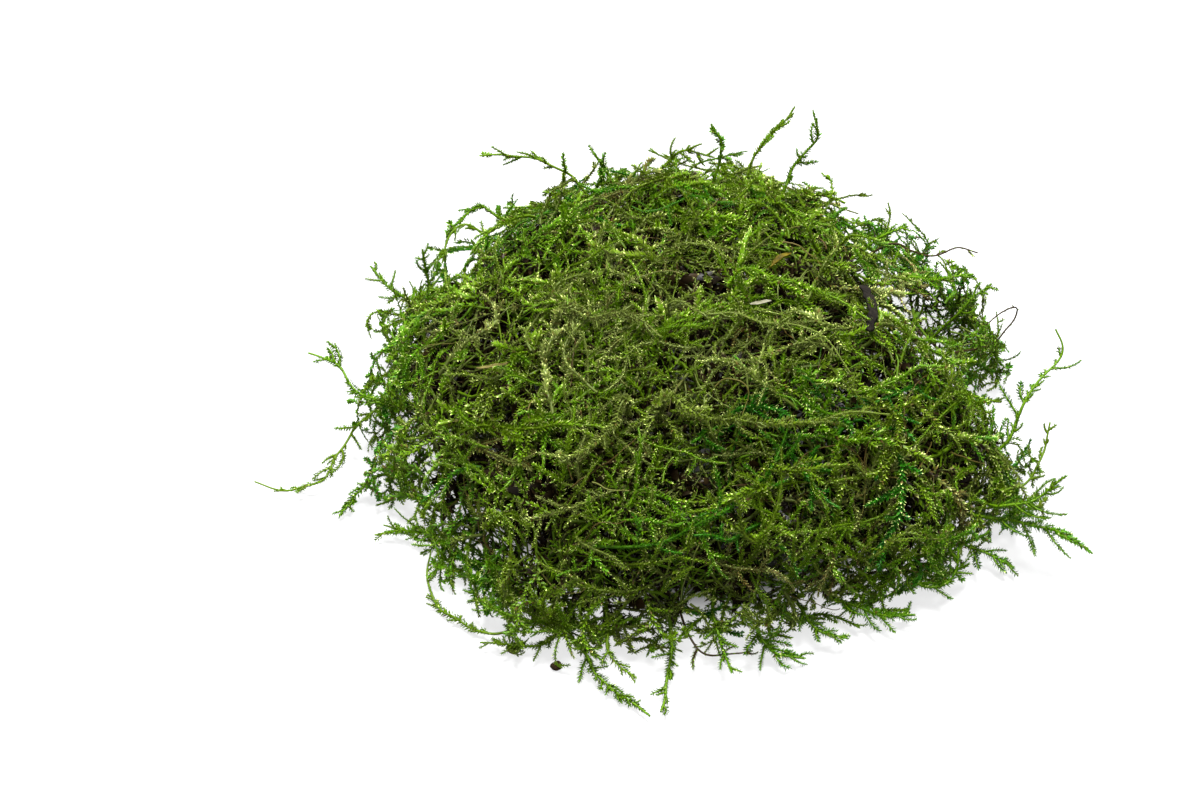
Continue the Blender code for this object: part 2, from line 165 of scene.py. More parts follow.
def sideShoots(stems, spec, dice):  # the batch of branches that a batch of stems carries
    counts = np.maximum(((spec["to"] - spec["from"]) * stems.lengths / spec["every"]).astype(int), 0)
    parent = np.repeat(np.arange(len(stems)), counts)
    order = np.arange(len(parent)) - np.repeat(np.cumsum(counts) - counts, counts)
    spacing = (spec["to"] - spec["from"]) / counts[parent]
    share = spec["from"] + spacing * (order + dice.uniform(0.1, 0.9, len(parent)))
    start, heading = alongPath(stems.path[parent], share)
    up, _ = alongPath(stems.ups[parent], share)
    side = unit(np.cross(heading, up)) * np.where(order % 2, 1, -1)[:, None]
    angle = np.radians(dice.uniform(*spec["angle"], len(parent)))[:, None]
    lift = dice.normal(0, spec["lift"], len(parent))[:, None]
    out = unit(heading * np.cos(angle) + side * np.sin(angle) + up * lift)
    reach = dice.uniform(*spec["length"], len(parent)) * (0.45 + 0.75 * np.sin(math.pi * share ** 0.8))
    depth, _ = mat.at(start)
    steps = spec["steps"]
    rise = dice.uniform(0, spec["rise"], len(parent))[:, None]
    want = depth[:, None] - np.linspace(0, 1, steps)[None, :] * rise
    curl = np.repeat(dice.normal(0, spec["curl"], (len(parent), 1)), steps, axis=1)
    path, ups = growPaths(start, out, reach, steps, want, curl, dice, wobble=0.09, follow=0.12)
    return Shoots(path, ups, reach, stems.tones[parent] + dice.normal(0, 0.03, len(parent))), parent


class Pile:  # what will become one mesh: corners, triangles and a tone and reach for each corner
    def __init__(self):
        self.corners, self.triangles, self.marks, self.size = [], [], [], 0

    def add(self, corners, triangles, marks):
        self.corners.append(corners)
        self.triangles.append(triangles + self.size)
        self.marks.append(marks)
        self.size += len(corners)


def leafOut(pile, shoots, look, dice, fine=False, fullness=None):
    # each leaf is a folded, cupped blade: two triangles in the tangle, four on a stray shoot
    path, ups, lengths, tones, vigour = vars(shoots).values()
    counts = np.maximum((lengths * look["perMm"] * np.clip(1.15 - 0.15 * vigour, 0.8, 1.1)).astype(int), 4)
    shoot = np.repeat(np.arange(len(path)), counts)
    order = np.arange(len(shoot)) - np.repeat(np.cumsum(counts) - counts, counts)
    share = (order + dice.uniform(0.2, 0.8, len(shoot))) / counts[shoot]
    bare = look["bare"] * dice.uniform(0.3, 1.4, len(path))[shoot]
    keep = (share > bare) & (dice.random(len(shoot)) > look["missing"])
    shoot, order, share = shoot[keep], order[keep], share[keep]
    base, along = alongPath(path[shoot], share)
    up, _ = alongPath(ups[shoot], share)
    depth, _ = mat.at(base)
    if not fine:  # fewer, larger leaves where they are hidden
        buried = np.clip((depth - look["thinFrom"]) / 3, 0, look["thinMost"])
        keep = dice.random(len(shoot)) > buried
        shoot, order, share, base, along, up, depth, buried = (
            v[keep] for v in (shoot, order, share, base, along, up, depth, buried))
    side = unit(np.cross(along, up))
    up = np.cross(side, along)
    turn = order * goldenAngle + dice.normal(0, 0.25, len(shoot))
    outward = unit(side * np.cos(turn)[:, None] + up * (np.sin(turn) * look["flat"])[:, None])
    nearTip = np.clip((share - 0.78) / 0.22, 0, 1)
    spread = np.radians(dice.normal(look["spread"], 7, len(shoot))) * (1 - 0.6 * nearTip)
    size = look["leaf"] * vigour[shoot] * dice.uniform(0.78, 1.18, len(shoot))
    size *= (1 - 0.45 * nearTip) * (0.75 + 0.25 * np.clip(share * 6, 0, 1))
    if fullness is not None:
        full = np.interp(share, *zip(*fullness))
        size *= full
        spread *= np.clip(full, 0.5, 1.1)
    size *= np.clip(0.62 + lengths[shoot] / 14, 0.62, 1)
    if not fine:
        size *= 1 + 0.45 * buried
    blade = along * np.cos(spread)[:, None] + outward * np.sin(spread)[:, None]
    across = unit(np.cross(blade, outward))
    inner = np.cross(blade, across)
    inner *= -np.sign(rowDot(inner, outward))  # points back to the stem, so that the blade is cupped
    wide = (size * look["slim"] * dice.uniform(0.8, 1.2, len(shoot)) / 2)[:, None]
    long = size[:, None]
    core = look["core"] * vigour[shoot] * (1 - 0.5 * share)
    base = base + outward * core[:, None] * 0.75
    curve = look["curve"]
    tip = base + blade * long + outward * (curve * long)
    middle = base + blade * long * 0.42 + outward * (curve * long * 0.1)
    left = middle + across * wide + inner * wide * 0.35
    right = middle - across * wide + inner * wide * 0.35
    tone = tones[shoot] + dice.normal(0, look["mottle"], len(shoot)) + look["tipTone"] * (share - 0.5)
    faded = dice.random(len(shoot)) < look["fadedShare"]
    tone = np.where(faded, dice.uniform(0.14, 0.34, len(shoot)), tone)
    # partly dead leaves, partly painted shade: the deeper a leaf sits, the likelier it turns dark brown
    deadAndShaded = dice.random(len(shoot)) < np.clip((depth - look["deadAndShadedFrom"]) / 3.5, 0, 0.96)
    tone = np.where(deadAndShaded, dice.uniform(0.01, 0.11, len(shoot)), tone)
    tone = np.clip(tone, 0.015, 0.985)
    # painted highlight: glint leaves reach further up the scale, so their tips take the pale colour
    glint = (dice.random(len(shoot)) < look["glint"] * dice.uniform(0, 2, len(path))[shoot]) & ~deadAndShaded
    shoulder, end = np.where(glint, 0.62, 0.45), np.where(glint, 0.97, 0.78)
    thin = 0.008
    parts = [(base, tone, 0.04), (left, tone - thin, shoulder), (right, tone + thin, shoulder)]
    shape = [[0, 3, 1], [0, 2, 3]]
    if fine:
        parts.append((middle + blade * long * 0.1 - inner * wide * 0.1, tone, shoulder + 0.08))
        shape += [[1, 3, 4], [3, 2, 4]]
    parts.append((tip, tone, end))
    corners = np.stack([place for place, _, _ in parts], axis=1)
    marks = np.stack([np.stack([u, v + 0 * u], 1) for _, u, v in parts], axis=1)
    triangles = (np.arange(len(shoot)) * len(parts))[:, None, None] + np.array(shape)[None]
    pile.add(corners.reshape(-1, 3), triangles.reshape(-1, 3), marks.reshape(-1, 2))


def stemOut(pile, shoots, tones, radius, sides, every, reach=(0.3, 0.5)):  # a thin tube along each path
    path, ups = shoots.path, shoots.ups
    steps = path.shape[1] - 1
    picks = np.unique(np.append(np.arange(0, steps, every), steps))
    rings = path[:, picks]
    heading = unit(path[:, np.minimum(picks + 1, steps)] - path[:, np.maximum(picks - 1, 0)])
    side = unit(np.cross(heading, ups[:, picks]))
    top = np.cross(side, heading)
    angles = 2 * math.pi * np.arange(sides) / sides
    share = picks / steps
    girth = radius[:, None, None, None] * (1 - stemTaper * share)[None, :, None, None]
    spoke = side[:, :, None] * np.cos(angles)[:, None] + top[:, :, None] * np.sin(angles)[:, None]
    corners = rings[:, :, None] + spoke * girth
    count, ringCount = len(path), len(picks)
    index = np.arange(count * ringCount * sides).reshape(count, ringCount, sides)
    a, b = index[:, :-1], index[:, 1:]
    aNext, bNext = np.roll(a, -1, axis=2), np.roll(b, -1, axis=2)
    triangles = np.stack([a, aNext, bNext, a, bNext, b], -1).reshape(-1, 3)
    tone = np.clip(tones, 0.02, 0.98)[:, None, None] + 0.01 * np.cos(angles)[None, None, :]
    # painted shade: the finish darkens a stem the lower its reach
    v = np.linspace(*reach, ringCount)[None, :, None]
    marks = np.stack(np.broadcast_arrays(tone, v + 0 * tone), axis=-1)
    marks = np.broadcast_to(marks, (count, ringCount, sides, 2))
    pile.add(corners.reshape(-1, 3), triangles, marks.reshape(-1, 2))


def placePiece(name, mesh, standsFor=()):
    piece = bpy.data.objects.new(name, mesh)
    bpy.context.scene.collection.objects.link(piece)
    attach(piece, "root")
    if standsFor:
        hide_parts(*standsFor)
    return piece


def pileToPiece(name, pile, standsFor=()):
    corners = np.concatenate(pile.corners)
    triangles = np.concatenate(pile.triangles)
    marks = np.concatenate(pile.marks)
    corners[:, 2] = np.maximum(corners[:, 2], 0.05)
    mesh = bpy.data.meshes.new(name)
    mesh.vertices.add(len(corners))
    mesh.vertices.foreach_set("co", (corners * mm).astype(np.float32).ravel())
    mesh.loops.add(len(triangles) * 3)
    mesh.loops.foreach_set("vertex_index", triangles.astype(np.int32).ravel())
    mesh.polygons.add(len(triangles))
    mesh.polygons.foreach_set("loop_start", np.arange(0, len(triangles) * 3, 3, dtype=np.int32))
    mesh.update(calc_edges=True)
    layer = mesh.uv_layers.new(name="OFBake")
    layer.data.foreach_set("uv", np.clip(marks[triangles.ravel()], 0.001, 0.999).astype(np.float32).ravel())
    mesh.validate()
    mesh.materials.append(mossGreen)
    placePiece(name, mesh, standsFor)
    print(name, len(triangles), "triangles")


class Wire:  # a socket that arithmetic can be done on
    def __init__(self, graph, socket):
        self.graph = graph
        self.socket = socket

    def math(self, operation, other, flipped=False):
        first, second = (other, self) if flipped else (self, other)
        return self.graph.add("ShaderNodeMath", {"operation": operation}, {0: first, 1: second})

    def __add__(self, other):
        return self.math("ADD", other)

    def __radd__(self, other):
        return self.math("ADD", other, True)

    def __sub__(self, other):
        return self.math("SUBTRACT", other)

    def __rsub__(self, other):
        return self.math("SUBTRACT", other, True)

    def __mul__(self, other):
        return self.math("MULTIPLY", other)

    def __rmul__(self, other):
        return self.math("MULTIPLY", other, True)

    def __pow__(self, other):
        return self.math("POWER", other)

    def __rpow__(self, other):
        return self.math("POWER", other, True)

    def output(self, index):
        return Wire(self.graph, self.socket.node.outputs[index])


class Graph:
    def __init__(self, name):
        self.material = bpy.data.materials.new(name)
        self.material.use_nodes = True
        self.tree = self.material.node_tree
        self.tree.nodes.clear()

    def add(self, kind, settings=None, values=None, output=0):
        node = self.tree.nodes.new(kind)
        for key, value in (settings or {}).items():
            if key == "stops":
                self.setStops(node.color_ramp, value)
            else:
                setattr(node, key, value)
        for key, value in (values or {}).items():
            if isinstance(value, Wire):
                self.tree.links.new(value.socket, node.inputs[key])
            else:
                node.inputs[key].default_value = value
        return Wire(self, node.outputs[output]) if len(node.outputs) else None

    def setStops(self, ramp, stops):
        while len(ramp.elements) < len(stops):
            ramp.elements.new(0.5)
        for element, (place, colour) in zip(ramp.elements, stops):
            element.position = place
            element.color = (*colour, 1)

    def ramp(self, value, stops):
        return self.add("ShaderNodeValToRGB", {"stops": stops}, {0: value})

    def blend(self, factor, a, b):  # colours
        return self.add("ShaderNodeMix", {"data_type": 'RGBA'}, {0: factor, 6: a, 7: b}, 2)

    def finish(self, surface):
        self.add("ShaderNodeOutputMaterial", {}, {"Surface": surface})
        return self.material


mossLook = {
    # a leaf's tone from dead, through straw and olive, to fresh and deep green, in linear colour
    "tones": [(0.00, (0.003, 0.0015, 0.0008)), (0.10, (0.020, 0.011, 0.004)), (0.20, (0.100, 0.070, 0.014)),
              (0.30, (0.118, 0.150, 0.030)), (0.42, (0.080, 0.128, 0.004)), (0.56, (0.098, 0.190, 0.002)),
              (0.70, (0.068, 0.176, 0.002)), (0.85, (0.022, 0.125, 0.002)), (1.00, (0.006, 0.088, 0.002))],
    "footPaintedShade": 0.85,       # painted shade: how much darker a leaf is at its foot, by the stem
    # pale is the colour of pale leaf tips, and also of the painted glints
    "pale": (0.70, 0.76, 0.26),
    "paleTipAndGlint": 0.02,         # partly pale leaf tips, partly painted highlight, a little on every leaf
    "roughness": 0.4,
    "gloss": 0.09,
    "glow": 0.24,            # share of the light that passes through a leaf
}


def makeMoss(name, look):
    g = Graph(name)
    tone = g.add("ShaderNodeSeparateXYZ", {}, {0: g.add("ShaderNodeUVMap", {"uv_map": "OFBake"})})
    reach = tone.output(1)
    colour = g.ramp(tone, look["tones"])
    # painted shade: a leaf or stem grows darker the lower it sits on the reach scale
    shade = 1 - look["footPaintedShade"] * (1 - reach) ** 2
    darkened = g.add("ShaderNodeVectorMath", {"operation": 'SCALE'}, {0: colour, 3: shade})
    # painted highlight: tips turn pale towards the end of the reach scale, and the glint leaves' tips turn
    # fully pale
    paintedGlint = g.add("ShaderNodeMapRange", {"interpolation_type": 'SMOOTHSTEP'}, {0: reach, 1: 0.66, 2: 0.86})
    tipped = g.blend(paintedGlint * 0.9 + reach ** 3 * look["paleTipAndGlint"], darkened, (*look["pale"], 1))
    body = g.add("ShaderNodeBsdfPrincipled", {}, {"Base Color": tipped, "Roughness": look["roughness"],
                                                 "Specular IOR Level": look["gloss"]})
    through = g.add("ShaderNodeBsdfTranslucent", {}, {"Color": tipped})
    return g.finish(g.add("ShaderNodeMixShader", {}, {0: look["glow"], 1: body, 2: through}))


mossGreen = makeMoss("feather moss leaves", mossLook)
shadedStemReach = (0.2, 0.34)      # painted shade: the stems under the leaves sit low on the reach scale, so the finish keeps them dark
stemLeaves = {
    "perMm": 10.0,
    "leaf": 0.88,            # a leaf's length
    "slim": 0.5, "curve": 0.08,
    "spread": 45,            # a leaf's angle from its stem
    "flat": 0.95,
    "bare": 0.1,             # leafless share at a shoot's foot
    "missing": 0.02,
    "core": 0.36,            # the stem's radius
    "mottle": 0.035, "tipTone": 0.06, "fadedShare": 0.05, "glint": 0.22,
    "thinFrom": 1.7,         # depth from which leaves grow fewer
    "thinMost": 0.93,
    "deadAndShadedFrom": 1.7,        # and from which most are dark brown: partly dead leaves, partly painted shade among the shoots
}
branchLeaves = {**stemLeaves, "perMm": 9.0, "bare": 0.0, "leaf": 0.80, "core": 0.2, "spread": 46}
clearLeaves = {**stemLeaves, "thinFrom": 99}     # shoots outside the mat keep their leaves
shortTwigs = {"from": 0.2, "to": 0.95, "angle": (35, 70), "lift": 0.3, "rise": 1.0, "curl": 0.12, "steps": 6}

tangle = {
    "seed": 21, "shoots": 600, "openLoss": 0.7,
    "hollows": [(21, -5, 14, 0.75), (8, 5, 9, 0.6), (-12, -20, 9, 0.5), (30, -22, 9, 0.5), (-30, 2, 8, 0.4)],
    "steps": 44, "length": (26, 58), "startDepth": (4.0, 11.0), "endDepth": (0.6, 6.5),
    "fringeShare": 0.3,      # shoots whose tips reach the mat's surface or stand just clear of it
    "fringeDepth": (-1.6, 1.2), "furthest": -2.2, "wave": 1.8, "curl": 0.05, "vigour": (0.6, 1.35),
    "branches": {**shortTwigs, "from": 0.15, "to": 0.97, "every": 3.7, "angle": (30, 70), "rise": 2.2,
                 "length": (2.5, 8.5), "curl": 0.13},
    "pieces": 5, "coreEvery": 3,
}


def openness(points):  # light shows through the left rim and, more, through the back-right lobe
    x, y = points[:, 0], points[:, 1]
    return 0.5 * ((x < -50) & (y > -24) & (y < 26)) + 1.0 * ((x > 35) & (y > 0))


def startPlaces(count, dice, openShare):  # random places on the mat's surface, fewer underneath
    faces = np.array([face[:3] for face in mat.faces])
    a, b, c = (mat.places[faces[:, i]] for i in range(3))
    cross = np.cross(b - a, c - a)
    area = np.linalg.norm(cross, axis=1)
    area *= np.where(unit(cross)[:, 2] < -0.7, 0.08, 1.0)
    area *= 1 - (1 - openShare) * openness((a + b + c) / 3)
    pick = dice.choice(len(faces), count, p=area / area.sum())
    r1, r2 = np.sqrt(dice.random(count))[:, None], dice.random(count)[:, None]
    return a[pick] * (1 - r1) + b[pick] * r1 * (1 - r2) + c[pick] * r1 * r2


toneMix = {                  # where on the scale of mossLook's tones a shoot falls
    "middle": 0.565,
    "rim": 0.10,             # fresh green round the rim
    "crown": -0.04,
    "patches": (26, 0.09),   # size and strength
    "mottle": (9, 0.06),
    "front": -0.07,          # yellower along the front: partly the shoots' own colour, partly painted light lifting the shaded front slope
    "old": -0.13,            # last year's shoots in the middle of the crown
    "oldShare": 0.6,
    "spread": 0.07,
    "emeraldShare": 0.04,
    "emerald": (0.8, 0.95),
    "driedShare": 0.04,
    "dried": (0.19, 0.3),
}


def toneOf(points, dice):
    count = len(points)
    x, y, z = points.T
    tone = toneMix["middle"] + toneMix["rim"] * (np.clip(np.hypot(x, y) / 60, 0, 1.2) - 0.6)
    tone += toneMix["crown"] * (np.clip(z / 42, 0, 1) - 0.5)
    for seed, (scale, strength) in ((3, toneMix["patches"]), (4, toneMix["mottle"])):
        tone += strength * softNoise(points, scale, seed)
    # partly painted light: the front slope is shifted yellower to lift its shaded look
    tone += toneMix["front"] * np.clip((-y - 32) / 22, 0, 1)
    old = np.exp(-((x - 4) / 26) ** 2 - ((y + 10) / 20) ** 2)
    tone += toneMix["old"] * old * (dice.random(count) < toneMix["oldShare"])
    tone += dice.normal(0, toneMix["spread"], count)
    emerald = dice.random(count) < toneMix["emeraldShare"]
    tone = np.where(emerald, dice.uniform(*toneMix["emerald"], count), tone)
    dried = dice.random(count) < toneMix["driedShare"]
    return np.clip(np.where(dried, dice.uniform(*toneMix["dried"], count), tone), 0.18, 0.97)


def scatterPaths(spec, dice, openShare=0.15, outward=(-0.1, 0.5)):
    # shoots that start under the surface and wander along it to their own depth
    count, steps = spec["shoots"], spec["steps"]
    surface = startPlaces(count, dice, openShare)
    _, out = mat.at(surface)
    first = dice.uniform(*spec["startDepth"], count)[:, None]
    start = surface - out * first
    start[:, 2] = np.maximum(start[:, 2], groundClearance)
    around = unit(np.cross(out, dice.normal(size=(count, 3))))
    heading = unit(around + out * dice.uniform(*outward, count)[:, None])
    lengths = dice.uniform(*spec["length"], count)
    share = np.linspace(0, 1, steps)[None, :]
    last = dice.uniform(*spec["endDepth"], count)
    if "fringeShare" in spec:
        fringe = dice.random(count) < spec["fringeShare"]
        last = np.where(fringe, dice.uniform(*spec["fringeDepth"], count), last)
    turns = share * dice.uniform(0.6, 1.8, (count, 1)) + dice.random((count, 1))
    wave = spec["wave"] * np.sin(2 * math.pi * turns) * dice.uniform(0.2, 1, (count, 1))
    want = np.maximum(first + (last[:, None] - first) * share ** 0.6 + wave, spec["furthest"])
    swing = np.sin(2 * math.pi * (share * dice.uniform(0.5, 2.2, (count, 1)) + dice.random((count, 1))))
    curl = dice.normal(0, spec["curl"], (count, 1)) + swing * dice.normal(0, spec["curl"] * 1.6, (count, 1))
    path, ups = growPaths(start, heading, lengths, steps, want, curl, dice)
    return Shoots(path, ups, lengths)


def barkTone(tones):  # a stem is a little browner than its leaves
    return np.clip(tones - 0.06, 0.3, 0.9)


def growTangle():
    dice = np.random.default_rng(tangle["seed"])
    stems = scatterPaths(tangle, dice)
    later = stems.path[:, tangle["steps"] * 2 // 3]
    sunk = np.zeros(len(stems))
    for x, y, reach, loss in tangle["hollows"]:
        sunk += loss * np.exp(-((later[:, 0] - x) ** 2 + (later[:, 1] - y) ** 2) / reach ** 2)
    thinned = dice.random(len(stems)) < np.maximum(tangle["openLoss"] * openness(later), sunk)
    stems = stems.pick(~thinned)
    count = len(stems)
    stems.tones = toneOf(stems.path[:, tangle["steps"] // 2], dice)
    stems.vigour = dice.uniform(*tangle["vigour"], count)
    branches, parent = sideShoots(stems, tangle["branches"], dice)
    branches.vigour = stems.vigour[parent]
    groups = np.empty(count, int)  # shared out by tone, so that each mesh stays light
    groups[np.argsort(stems.tones)] = np.arange(count) * tangle["pieces"] // count
    for group in range(tangle["pieces"]):
        pile = Pile()
        mine, theirs = stems.pick(groups == group), branches.pick(groups[parent] == group)
        leafOut(pile, mine, stemLeaves, dice)
        leafOut(pile, theirs, branchLeaves, dice)
        radius = stemLeaves["core"] * mine.vigour
        stemOut(pile, mine, barkTone(mine.tones), radius, 4, tangle["coreEvery"], shadedStemReach)
        stemOut(pile, theirs, barkTone(theirs.tones), branchLeaves["core"] * theirs.vigour, 3, 2, shadedStemReach)
        standsFor = ["moss_mat"] if group == 0 else ()
        pileToPiece(f"tangled_shoots_{group + 1}", pile, standsFor)


growTangle()

# last year's shoots, dead and brown, that fill the middle and keep light from coming through; their
# near-black colour is partly real, partly painted shade in the gaps
litter = {
    "seed": 5, "shoots": 300, "steps": 24, "length": (18, 40), "startDepth": (5.0, 15.0),
    "endDepth": (4.5, 13.0), "furthest": 3.6, "wave": 1.5, "curl": 0.03,
    "leaves": {**clearLeaves, "perMm": 1.9, "leaf": 3.4, "slim": 0.62, "spread": 48, "glint": 0,
               "deadAndShadedFrom": -99, "bare": 0},
}


def growLitter():
    dice = np.random.default_rng(litter["seed"])
    stems = scatterPaths(litter, dice)
    middle, end = stems.path[:, litter["steps"] // 2], stems.path[:, -1]
    stems = stems.pick(openness(middle) + openness(end) == 0)
    # partly painted shade: every litter leaf is near-black
    stems.tones, stems.vigour = np.full(len(stems), 0.05), np.ones(len(stems))
    pile = Pile()
    leafOut(pile, stems, litter["leaves"], dice)
    pileToPiece("dead_shoots", pile)


growLitter()

# old stems that have lost their leaves, straw to dark brown, woven through the green
oldStems = {
    "seed": 9, "shoots": 80, "steps": 30, "length": (7, 22), "startDepth": (1.0, 4.0),
    "endDepth": (-1.4, 2.0), "furthest": -2.0, "wave": 1.4, "curl": 0.09, "tone": (0.13, 0.33),
    "radius": (0.09, 0.19),
}


def growOldStems():
    dice = np.random.default_rng(oldStems["seed"])
    stems = scatterPaths(oldStems, dice)
    pile = Pile()
    tones, radius = (dice.uniform(*oldStems[key], len(stems)) for key in ("tone", "radius"))
    stemOut(pile, stems, tones, radius, 4, 1)
    pileToPiece("old_stems", pile)


growOldStems()

# pale grey-green shoots from last year, dried, curling over the crown, with painted glints on many leaf tips
paleShoots = {
    "seed": 40, "shoots": 46, "steps": 36, "length": (8, 28), "startDepth": (0.5, 3.0),
    "endDepth": (-1.6, 0.6), "furthest": -2.0, "wave": 1.4, "curl": 0.07, "tone": (0.29, 0.38),
    "vigour": (0.6, 1.2), "middle": (2, -12), "reach": (46, 30),
    "leaves": {**clearLeaves, "leaf": 0.92, "perMm": 9, "core": 0.34, "spread": 40, "glint": 0.35,
               "mottle": 0.03, "tipTone": 0},
    "twigs": {**shortTwigs, "from": 0.1, "every": 4.5, "lift": 0.4, "length": (1.5, 5), "curl": 0.14},
}


def growPaleShoots():
    dice = np.random.default_rng(paleShoots["seed"])
    stems = scatterPaths({**paleShoots, "shoots": paleShoots["shoots"] * 5}, dice)
    middle = stems.path[:, paleShoots["steps"] // 2]
    away = (middle[:, :2] - paleShoots["middle"]) / paleShoots["reach"]
    keep = (np.hypot(*away.T) < dice.uniform(0.3, 1, len(stems))) & (middle[:, 2] > 20)
    stems = stems.pick(np.flatnonzero(keep)[:paleShoots["shoots"]])
    stems.tones, stems.vigour = (dice.uniform(*paleShoots[key], len(stems)) for key in ("tone", "vigour"))
    pile = Pile()
    leaves = paleShoots["leaves"]
    leafOut(pile, stems, leaves, dice)
    stemOut(pile, stems, stems.tones, leaves["core"] * stems.vigour, 5, 2, shadedStemReach)
    twigs, parent = sideShoots(stems, paleShoots["twigs"], dice)
    twigs.vigour = stems.vigour[parent]
    twigLeaves = {**leaves, "core": 0.2}
    leafOut(pile, twigs, twigLeaves, dice)
    stemOut(pile, twigs, twigs.tones, twigLeaves["core"] * twigs.vigour, 4, 2, shadedStemReach)
    pileToPiece("pale_crown_shoots", pile)


growPaleShoots()

# shoots that leave the mat: a wiry lace round the rim with holes between its loops, an apron of leafy
# shoots lying out over the table in front, and tips that stand up out of the dome
edgeShoots = {
    "lacy_rim_shoots": {
        "seed": 14, "shoots": 125, "steps": 30, "length": (14, 34), "startDepth": (1.0, 4.0),
        "endDepth": (-7.0, -1.0), "furthest": -7.5, "outward": (0.2, 0.9), "wave": 2.2, "curl": 0.09,
        "tone": (0.03, 0.09), "stemTone": (0.3, 0.5), "vigour": (0.8, 1.2),
        "leaves": {**clearLeaves, "perMm": 5.5, "leaf": 0.9, "spread": 38, "glint": 0.06, "core": 0.22},
        "twigs": {**shortTwigs, "from": 0.12, "to": 0.97, "every": 3.0, "angle": (40, 75), "lift": 0.5,
                  "length": (1.8, 5.2), "rise": 2.0, "curl": 0.14},
        "twigLeaves": {**clearLeaves, "perMm": 8.0, "bare": 0, "leaf": 0.95, "spread": 42, "glint": 0.06,
                       "core": 0.2},
    },
    "front_apron_shoots": {
        "seed": 27, "shoots": 110, "steps": 26, "length": (9, 21), "startDepth": (1.5, 5.0),
        "endDepth": (-8.5, -2.5), "furthest": -9.0, "outward": (0.5, 1.6), "wave": 0.8, "curl": 0.08,
        "tone": (0.02, 0.05), "vigour": (0.65, 1.2),
        "leaves": {**clearLeaves, "perMm": 8.5},
        "twigs": {**shortTwigs, "every": 3.2, "lift": 0.25, "length": (2, 6), "rise": 1.2},
        "twigLeaves": {**branchLeaves, "thinFrom": 99},
    },
    "standing_tips": {
        "seed": 52, "shoots": 150, "steps": 20, "length": (7, 15), "startDepth": (1.5, 4.0),
        "endDepth": (-7.0, -1.5), "furthest": -7.5, "outward": (0.7, 2.2), "wave": 0.6, "curl": 0.09,
        "tone": (0.03, 0.06), "vigour": (0.6, 1.1),
        "leaves": {**clearLeaves, "perMm": 8.5},
        "twigs": {**shortTwigs, "from": 0.25, "to": 0.9, "every": 3.4, "angle": (30, 65), "lift": 0.35,
                  "length": (1.5, 5)},
        "twigLeaves": {**branchLeaves, "thinFrom": 99},
    },
}


def edgePlaces(name, points, dice):  # which of the shoots tried each kind keeps, by where its middle is
    low = points[:, 2] < 15
    chance = dice.random(len(points))
    if name == "lacy_rim_shoots":
        return low & (np.hypot(points[:, 0], points[:, 1]) > 46) & ((openness(points) > 0) | (chance < 0.2))
    if name == "front_apron_shoots":
        return (points[:, 2] < 8) & (points[:, 1] < -14) & (np.hypot(points[:, 0], points[:, 1]) > 50)
    behind = points[:, 1] > 8
    return (points[:, 2] > 8) & (chance < np.where(behind, 1, 0.4))


def growEdge(name, spec):
    dice = np.random.default_rng(spec["seed"])
    tried = scatterPaths({**spec, "shoots": spec["shoots"] * tries}, dice, 1.0, spec["outward"])
    middle = tried.path[:, spec["steps"] // 2]
    keep = np.flatnonzero(edgePlaces(name, middle, dice))[:spec["shoots"]]
    stems = tried.pick(keep)
    count = len(stems)
    stems.tones = np.clip(toneOf(middle[keep], dice) + dice.uniform(*spec["tone"], count), 0.4, 0.9)
    stems.vigour = dice.uniform(*spec["vigour"], count)
    leaves, twigLeaves, wiry = spec["leaves"], spec["twigLeaves"], spec.get("stemTone")
    stemTones = dice.uniform(*wiry, count) if wiry else barkTone(stems.tones)
    reach = (0.3, 0.5) if wiry else shadedStemReach
    pile = Pile()
    leafOut(pile, stems, leaves, dice)
    stemOut(pile, stems, stemTones, leaves["core"] * stems.vigour, 4, 1 if wiry else 2, reach)
    twigs, parent = sideShoots(stems, spec["twigs"], dice)
    twigs.vigour = dice.uniform(0.7, 1.2, len(twigs))
    leafOut(pile, twigs, twigLeaves, dice)
    stemOut(pile, twigs, stemTones[parent], np.full(len(twigs), twigLeaves["core"]), 3, 2, reach)
    pileToPiece(name, pile)


for name, spec in edgeShoots.items():
    growEdge(name, spec)

